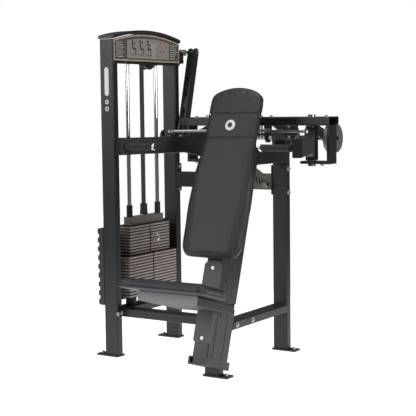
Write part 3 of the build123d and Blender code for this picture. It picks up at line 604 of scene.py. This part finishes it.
def seat_blank():
    shape = bmesh.new()
    edge = 0.014
    profile = [(0.007, 0.047), (0.002, 0.043), (0.002, edge + 0.002)]
    profile += [(0.002 + edge * (1 - math.cos(a)), 0.002 + edge * (1 - math.sin(a)))
                for a in (math.radians(d) for d in (25, 50, 75, 90))]
    profile += [(0.05, 0.001)]
    rings = [[shape.verts.new(on_seat(x, back, down)) for x, back in seat_outline(inset)]
             for inset, down in profile]
    loft(shape, rings)
    return finish_bmesh(shape, "seat_cover")


seat_cover = piece("seat_cover", seat_blank(), vinyl, "seat")
puffed(seat_cover, COVER_VOXEL, COVER_PRESSURE, COVER_CAP,
       lambda p: (SEAT_FRONT - p).dot(up_way) > SEAT_THICK - 0.010)
smoothed(seat_cover)
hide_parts("seat_pad")
print("seat cover faces:", len(seat_cover.data.polygons))


# %% Piping: a round cord sewn along an edge
def piping(name, points, radius, body, closed=True):
    curve = bpy.data.curves.new(name, "CURVE")
    curve.dimensions = "3D"
    curve.bevel_depth = radius
    curve.bevel_resolution = 3
    line = curve.splines.new("POLY")
    line.points.add(len(points) - 1)
    for point, place in zip(line.points, points):
        point.co = (*place, 1)
    line.use_cyclic_u = closed
    holder = bpy.data.objects.new(name + "_line", curve)
    bpy.context.scene.collection.objects.link(holder)
    mesh = evaluated(holder)
    bpy.data.objects.remove(holder)
    return piece(name, mesh, vinyl, body)


piping("seat_piping", [on_seat(x, back, 0.040) for x, back in seat_outline(-0.0005)], 0.003, "seat")
piping("back_pad_piping", [on_pad(w, 0.031 - side_slope(w, along), along)
                           for w, along in pad_outline(0.0030)], 0.0024, "frame")
print("piping sewn on")

# %% [markdown]
# ## Grips and their caps
# A grip is a rubber sleeve with a row of shallow ribs, closed at its free end by a chrome
# cap. Both are turned shapes, so one profile spun round the bar's axis makes each.

# %% Grips
for side, word in ((-1, "left"), (1, "right")):
    low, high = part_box(f"{word}_grip")
    centre_y, centre_z = (low.y + high.y) / 2, (low.z + high.z) / 2
    outer, inner = (high.x, low.x) if side > 0 else (low.x, high.x)
    length = abs(outer - inner)
    ribs = 22
    sleeve = [(0.0, 0.0150), (0.036, 0.0150), (0.0362, 0.0172), (0.044, 0.0172)]
    for i in range(ribs):
        start = 0.047 + i * (length - 0.062) / ribs
        step = (length - 0.062) / ribs
        sleeve += [(start, 0.0148), (start + step * 0.2, 0.0160), (start + step * 0.7, 0.0160),
                   (start + step * 0.9, 0.0148)]
    sleeve += [(length - 0.012, 0.0150)]
    shape = bmesh.new()
    revolve(shape, sleeve, (outer, centre_y, centre_z), (-side, 0, 0))
    sleeve_piece = piece(f"{word}_grip_sleeve", finish_bmesh(shape, "grip"), rubber,
                         f"{word}_press_arm")
    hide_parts(f"{word}_grip")
    shape = bmesh.new()
    revolve(shape, [(length - 0.0115, 0.0166), (length - 0.003, 0.0168), (length - 0.0008, 0.0155),
                    (length, 0.0120)], (outer, centre_y, centre_z), (-side, 0, 0))
    piece(f"{word}_grip_cap", finish_bmesh(shape, "cap"), bright_chrome,
          f"{word}_press_arm")
print("grips turned")

# %% [markdown]
# ## The belts
# On the machine the front belt shortens as the stack rises, and the rear belt swings with the
# lever. Each is laid here as a straight flat strip with many crossings, along the run that the
# frame gives it.

# %% Belts
def strip(name, start, end, wide, thick, cuts=40):
    """A flat belt from one point to another; its width lies along X."""
    a, b = Vector(start), Vector(end)
    flat = (b - a).normalized().cross(Vector((1, 0, 0))) * thick / 2
    shape = bmesh.new()
    rows = []
    for i in range(cuts + 1):
        centre = a.lerp(b, i / cuts)
        rows.append([shape.verts.new(centre + Vector((x * wide / 2, 0, 0)) + flat * f)
                     for x, f in ((-1, -1), (1, -1), (1, 1), (-1, 1))])
    loft(shape, rows)
    return finish_bmesh(shape, name)


low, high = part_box("belt_front_run")
middle = (low + high) / 2
front_belt = piece("front_belt", strip("front_belt", (middle.x, middle.y, low.z),
                                       (middle.x, middle.y, high.z), 0.025, 0.004),
                   webbing, None, smooth=False)
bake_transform(front_belt)
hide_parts("belt_front_run")
low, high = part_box("belt_rear_run")
middle = (low + high) / 2
rear_belt = piece("rear_belt", strip("rear_belt", (middle.x, low.y, middle.z),
                                     (middle.x, high.y, middle.z), 0.025, 0.004),
                  webbing, None, smooth=False)
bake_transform(rear_belt)
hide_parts("belt_rear_run")
print("belts laid")

# %% [markdown]
# ## The exercise placard
# A printed sheet under an arched cap: a thin cream edge, dark side panels and a pale middle with
# three plain diagrams. Each colour is a thin sheet of its own, laid one on the next, so the
# print has real edges. The figures are only discs and rounded bars.

# %% Placard colours
def print_ink(name, colour, roughness=0.38):
    paint = Paint(name)
    tone = paint.noise(60.0, 2.0)
    paint.set(Base_Color=paint.mix(tone, tuple(c * 0.9 for c in colour), colour),
              Roughness=tone * 0.08 + roughness)
    return paint.bump(paint.noise(300.0), 0.00002).material


cream = print_ink("cream_ink", (0.66, 0.55, 0.36))
taupe = print_ink("taupe_ink", (0.105, 0.088, 0.078))
mauve = print_ink("mauve_ink", (0.30, 0.265, 0.26))
pale = print_ink("pale_ink", (0.66, 0.64, 0.62))
dark_ink = print_ink("dark_ink", (0.025, 0.022, 0.022))
red_ink = print_ink("red_ink", (0.42, 0.05, 0.04))
blue_ink = print_ink("blue_ink", (0.06, 0.12, 0.36))
OUTWARD = (1, 0, 0)
sheet_low, sheet_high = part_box("placard")
SHEET_X = sheet_high.x
ARCH_RISE = 0.036


def arch_top(y, drop):
    """Height of the placard's arched upper edge, less a margin."""
    t = (y - sheet_low.y) / (sheet_high.y - sheet_low.y)
    return sheet_high.z - ARCH_RISE * (2 * t - 1) ** 2 - drop


def panel(name, y0, y1, bottom, drop, layer, ink):
    steps = 24
    corners = [(SHEET_X + layer, y0, bottom), (SHEET_X + layer, y1, bottom)]
    for i in range(steps + 1):
        y = y1 + (y0 - y1) * i / steps
        corners.append((SHEET_X + layer, y, arch_top(y, drop)))
    shape = bmesh.new()
    slab(shape, corners, OUTWARD, 0.0003)
    return piece(name, finish_bmesh(shape, name), ink, "frame", smooth=False)


MARGIN = 0.008
EDGE = 0.003
panel("placard_edge", sheet_low.y + EDGE, sheet_high.y - EDGE, sheet_low.z + EDGE, EDGE, 0.0, cream)
panel("placard_field", sheet_low.y + MARGIN, sheet_high.y - MARGIN, sheet_low.z + MARGIN, MARGIN,
      0.0003, taupe)
panel("placard_middle", sheet_low.y + 0.112, sheet_high.y - 0.098, sheet_low.z + 0.016, 0.022,
      0.0006, mauve)
print("placard sheets laid")


# %% Placard print: bars, discs and plain figures
def bar_outline(y0, z0, y1, z1, half, layer):
    along = Vector((0, y1 - y0, z1 - z0))
    side = along.normalized().cross(Vector(OUTWARD)) * half
    a, b = Vector((SHEET_X + layer, y0, z0)), Vector((SHEET_X + layer, y1, z1))
    tip = along.normalized() * half
    return [a + side, a - tip * 0.7 + side * 0.5, a - tip * 0.7 - side * 0.5, a - side,
            b - side, b + tip * 0.7 - side * 0.5, b + tip * 0.7 + side * 0.5, b + side]


def disc_outline(y, z, radius, layer, sides=18):
    return [(SHEET_X + layer, y + radius * math.cos(2 * math.pi * i / sides),
             z + radius * math.sin(2 * math.pi * i / sides)) for i in range(sides)]


def printed(name, outlines, ink, body="frame", normal=OUTWARD, thick=0.0003):
    shape = bmesh.new()
    for outline in outlines:
        slab(shape, outline, normal, thick)
    return piece(name, finish_bmesh(shape, name), ink, body, smooth=False)


def figure(y, z, size, lean):
    """A seated figure of bars and a disc; lean turns its arms."""
    k = size
    joints = {"hip": (y, z), "neck": (y - 0.10 * k, z + 0.42 * k),
              "knee": (y + 0.30 * k, z + 0.04 * k), "foot": (y + 0.28 * k, z - 0.34 * k),
              "hand": (y + (0.30 * k) * math.cos(lean), z + 0.36 * k + 0.30 * k * math.sin(lean))}
    bars = [("hip", "neck", 0.055), ("hip", "knee", 0.045), ("knee", "foot", 0.035),
            ("neck", "hand", 0.030)]
    shapes = [bar_outline(*joints[a], *joints[b], h * k, 0.0009) for a, b, h in bars]
    head = (joints["neck"][0] - 0.01 * k, joints["neck"][1] + 0.15 * k)
    return shapes + [disc_outline(*head, 0.085 * k, 0.0009)]


middle_y = (sheet_low.y + sheet_high.y) / 2
base = sheet_low.z
figures = []
for i, lean in enumerate((0.2, 0.9, -0.3)):
    figures += figure(middle_y - 0.125 + i * 0.066, base + 0.062, 0.072, math.radians(lean * 40))
printed("placard_figures", figures, dark_ink)
stands = [bar_outline(middle_y - 0.140 + i * 0.066, base + 0.034, middle_y - 0.100 + i * 0.066,
                      base + 0.034, 0.0016, 0.0009) for i in range(3)]
printed("placard_stands", stands, blue_ink)
marks = [disc_outline(middle_y + y, base + z, 0.0055, 0.0009)
         for y in (0.112, 0.145) for z in (0.056, 0.096)]
printed("placard_marks", marks, red_ink)
lines = []
random.seed(7)
for column, (y0, y1) in enumerate(((sheet_low.y + 0.022, sheet_low.y + 0.098),
                                   (middle_y + 0.030, middle_y + 0.088),
                                   (sheet_high.y - 0.088, sheet_high.y - 0.022))):
    for row in range(7):
        z = base + 0.022 + row * 0.0115
        end = y0 + (y1 - y0) * (0.62 + 0.38 * random.random())
        lines.append(bar_outline(y0, z, end, z, 0.0013, 0.0009))
printed("placard_lines", lines, pale)
print("placard printed")

# %% [markdown]
# ## A plain label and a plain button
# The front upright carries a pale upright label, and the back pad a pale button between its two
# seams. Both are kept plain: a rounded bar over two ringed dots, and a turned disc.

# %% Upright label
upright_low, upright_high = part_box("front_upright")
LABEL_Y = upright_low.y
LABEL_X = (upright_low.x + upright_high.x) / 2


def flat_bar(x, z0, z1, half, lift):
    points = []
    for cx, start in ((z1 - half, 0), (z0 + half, 180)):
        for step in range(9):
            a = math.radians(start + step * 180 / 8)
            points.append((x + half * math.cos(a), LABEL_Y - lift, cx + half * math.sin(a)))
    return points


label_white = print_ink("label_white", (0.80, 0.80, 0.79))
FACING = (0, -1, 0)
printed("label_bar", [flat_bar(LABEL_X, 1.300, 1.440, 0.0125, 0.0)], label_white,
        normal=FACING, thick=0.0004)
printed("label_dots", [flat_bar(LABEL_X, z - 0.011, z + 0.011, 0.011, 0.0)
                       for z in (1.270, 1.236)], label_white, normal=FACING, thick=0.0004)
printed("label_dot_centres", [flat_bar(LABEL_X, z - 0.0055, z + 0.0055, 0.0055, 0.0004)
                              for z in (1.270, 1.236)], dark_ink, normal=FACING, thick=0.0003)
shape = bmesh.new()
button_at = on_pad(0, PAD_THICK + 0.0015, (HEAD_SEAM + NECK_SEAM) / 2)
revolve(shape, [(-0.006, 0.026), (0.0016, 0.026), (0.0026, 0.0245), (0.0026, 0.012)],
        button_at, PAD_FACING, 36)
piece("pad_button", finish_bmesh(shape, "button"), label_white, "frame")
shape = bmesh.new()
revolve(shape, [(0.0, 0.0125), (0.0030, 0.0125), (0.0034, 0.0110)], button_at, PAD_FACING, 28)
piece("pad_button_centre", finish_bmesh(shape, "button_centre"), dark_ink, "frame")
print("label and button made")

# %% [markdown]
# ## Bolts, by Geometry Nodes
# Every bolt on the machine is the same domed head on a washer. A small tree puts one on each
# point of a mesh and turns it to face the way that the point's attribute says, so adding a bolt
# is adding a point.

# %% The bolt tree
def bolt_tree():
    tree = bpy.data.node_groups.new("bolts_on_points", "GeometryNodeTree")
    face = tree.interface
    face.new_socket("Points", in_out="INPUT", socket_type="NodeSocketGeometry")
    for label, value in (("Head radius", 0.0085), ("Head height", 0.007)):
        made = face.new_socket(label, in_out="INPUT", socket_type="NodeSocketFloat")
        made.default_value = value
    face.new_socket("Finish", in_out="INPUT", socket_type="NodeSocketMaterial")
    face.new_socket("Bolts", in_out="OUTPUT", socket_type="NodeSocketGeometry")

    def add(kind, settings=None, **links):
        made = tree.nodes.new(kind)
        for key, value in (settings or {}).items():
            setattr(made, key, value)
        for key, value in links.items():
            socket = made.inputs[key.replace("_", " ")]
            if isinstance(value, bpy.types.NodeSocket):
                tree.links.new(value, socket)
            else:
                socket.default_value = value
        return made

    start = add("NodeGroupInput")
    radius, height = start.outputs["Head radius"], start.outputs["Head height"]

    def scaled(socket, factor, extra=0.0):
        made = add("ShaderNodeMath", {"operation": "MULTIPLY_ADD"})
        tree.links.new(socket, made.inputs[0])
        made.inputs[1].default_value = factor
        made.inputs[2].default_value = extra
        return made.outputs[0]

    def lifted(solid, up):
        joined = add("ShaderNodeCombineXYZ", Z=up)
        return add("GeometryNodeTransform", None, Geometry=solid,
                   Translation=joined.outputs[0]).outputs[0]

    washer = add("GeometryNodeMeshCylinder", None, Vertices=24, Radius=scaled(radius, 1.5),
                 Depth=0.002)
    head = add("GeometryNodeMeshCone", None, Vertices=24, Radius_Top=scaled(radius, 0.72),
               Radius_Bottom=radius, Depth=height)
    socket = add("GeometryNodeMeshCylinder", None, Vertices=6, Radius=scaled(radius, 0.42),
                 Depth=0.0012)
    parts = add("GeometryNodeJoinGeometry")
    for solid, up in ((washer.outputs[0], scaled(height, 0.0, 0.001)),
                      (head.outputs[0], scaled(height, 0.0, 0.002)),
                      (socket.outputs[0], scaled(height, 1.0, 0.0021))):
        tree.links.new(lifted(solid, up), parts.inputs[0])
    facing = add("GeometryNodeInputNamedAttribute", {"data_type": "FLOAT_VECTOR"}, Name="facing")
    turn = add("FunctionNodeAlignRotationToVector", {"axis": "Z"}, Vector=facing.outputs[0])
    placed = add("GeometryNodeInstanceOnPoints", None, Points=start.outputs["Points"],
                 Instance=parts.outputs[0], Rotation=turn.outputs[0])
    real = add("GeometryNodeRealizeInstances", None, Geometry=placed.outputs[0])
    painted = add("GeometryNodeSetMaterial", None, Geometry=real.outputs[0],
                  Material=start.outputs["Finish"])
    end = tree.nodes.new("NodeGroupOutput")
    tree.links.new(painted.outputs[0], end.inputs[0])
    return tree


bolts_on_points = bolt_tree()


def bolts(name, spots, body, radius=0.0085, height=0.007, finish=None):
    """spots is a list of (place, facing); the result is one plain mesh."""
    mesh = bpy.data.meshes.new(name)
    mesh.from_pydata([tuple(place) for place, _ in spots], [], [])
    facing = mesh.attributes.new("facing", "FLOAT_VECTOR", "POINT")
    for item, (_, way) in zip(facing.data, spots):
        item.vector = way
    holder = bpy.data.objects.new(name + "_points", mesh)
    bpy.context.scene.collection.objects.link(holder)
    grow = holder.modifiers.new("bolts", "NODES")
    grow.node_group = bolts_on_points
    named = {item.name: item.identifier for item in bolts_on_points.interface.items_tree}
    grow[named["Head radius"]] = radius
    grow[named["Head height"]] = height
    grow[named["Finish"]] = finish or turned_steel
    plain = evaluated(holder)
    bpy.data.objects.remove(holder)
    made = piece(name, plain, None, body, smooth=False)
    print(name, len(spots), "bolts,", len(plain.polygons), "faces")
    return made


# %% Bolts on the frame and the press
beam_low, beam_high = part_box("lower_crossbeam")
leg_low, leg_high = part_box("rear_leg")
_, base_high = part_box("rear_base_beam")
tower_in = upright_high.x
mid_y = (leg_low.y + leg_high.y) / 2
rows = []
for z in (beam_low.z + 0.012, beam_high.z - 0.018):
    rows.append(((tower_in + 0.008, mid_y, z), (1, 0, 0)))
    rows.append(((leg_high.x, mid_y, z), (1, 0, 0)))
for y in (0.144, 0.289):
    rows.append(((base_high.x, y, 0.218), (1, 0, 0)))
for y in (0.165, 0.195):
    rows.append(((tower_in, y - 0.062, 0.218), (1, 0, 0)))
frame_bolts = bolts("frame_bolt_heads", rows, "frame")
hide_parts("frame_bolts")
# these two are flat, because the seat's sleeve passes 2 mm in front of the strip
bolts("strip_screw_heads", [(on_column(0, -0.1562, along), (0, -math.cos(LEAN), math.sin(LEAN)))
                            for along in (0.155, 0.480)], "frame", 0.0050, 0.0008)
yoke_low, yoke_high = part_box("yoke_top_beam")
bracket_low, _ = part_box("yoke_brackets")
yoke_y = (yoke_low.y + yoke_high.y) / 2
rows = []
for side in (-1, 1):
    rows.append(((side * 0.362, yoke_y, yoke_high.z), (0, 0, 1)))
    rows.append(((side * 0.350, yoke_y - 0.018, bracket_low.z), (0, 0, -1)))
    rows.append(((side * 0.265, yoke_y + 0.024, bracket_low.z), (0, 0, -1)))
rows.append(((0.068, yoke_y, yoke_high.z), (0, 0, 1)))
bolts("press_bolt_heads", rows, "press")
floor_holes = ((-0.734, 0.118), (-0.734, 0.658), (0.068, 0.658), (0.068, 0.0))
foot_rows = [((x, y, 0.008), (0, 0, 1)) for x, y in floor_holes]
bolts("floor_anchor_heads", foot_rows, "frame", 0.0075, 0.008)

# %% [markdown]
# ## The studio
# A white floor and a room that is white to the camera but dim to everything else, so that black
# paint stays black. Three large soft lights, at the front left, above and at the right, draw the
# edges of the tubes and the pads.

# %% Floor, room and lights
floor_mesh = bpy.data.meshes.new("studio_floor")
floor_corners = ((-2.4, -1.6), (1.8, -1.6), (1.8, 2.2), (-2.4, 2.2))
floor_mesh.from_pydata([(x, y, -0.0005) for x, y in floor_corners], [], [(0, 1, 2, 3)])
floor_paint = Paint("studio_floor", roughness=0.9, Emission_Color=(1, 1, 1, 1),
                    Emission_Strength=0.80)
floor_paint.set(Base_Color=floor_paint.mix(floor_paint.noise(0.6), (0.87, 0.87, 0.87),
                                           (0.90, 0.90, 0.90)))
floor_mesh.materials.append(floor_paint.material)
floor = bpy.data.objects.new("studio_floor", floor_mesh)
bpy.context.scene.collection.objects.link(floor)
world = bpy.data.worlds.new("studio")
world.use_nodes = True
world.node_tree.nodes["Background"].inputs["Color"].default_value = (1, 1, 1, 1)
room = world.node_tree
ray = room.nodes.new("ShaderNodeLightPath")
level_of_light = room.nodes.new("ShaderNodeMapRange")
level_of_light.inputs["To Min"].default_value = 0.15
level_of_light.inputs["To Max"].default_value = 1.0
room.links.new(ray.outputs["Is Camera Ray"], level_of_light.inputs["Value"])
room.links.new(level_of_light.outputs["Result"], room.nodes["Background"].inputs["Strength"])
bpy.context.scene.world = world
bpy.context.scene.view_settings.view_transform = "Standard"


def softbox(name, place, aim, size, power):
    data = bpy.data.lights.new(name, "AREA")
    data.shape = "RECTANGLE"
    data.size, data.size_y = size
    data.energy = power
    lamp = bpy.data.objects.new(name, data)
    bpy.context.scene.collection.objects.link(lamp)
    lamp.location = place
    lamp.rotation_euler = (Vector(aim) - Vector(place)).to_track_quat("-Z", "Y").to_euler()
    return lamp


softbox("front_left_light", (-3.0, -4.2, 2.6), (-0.2, 0.2, 0.8), (2.6, 2.6), 95)
softbox("top_light", (0.3, -0.6, 4.6), (0, 0.2, 0.8), (3.2, 3.2), 100)
softbox("right_light", (4.6, -0.6, 2.0), (0, 0.2, 0.9), (1.6, 2.2), 90)
print("studio lit")
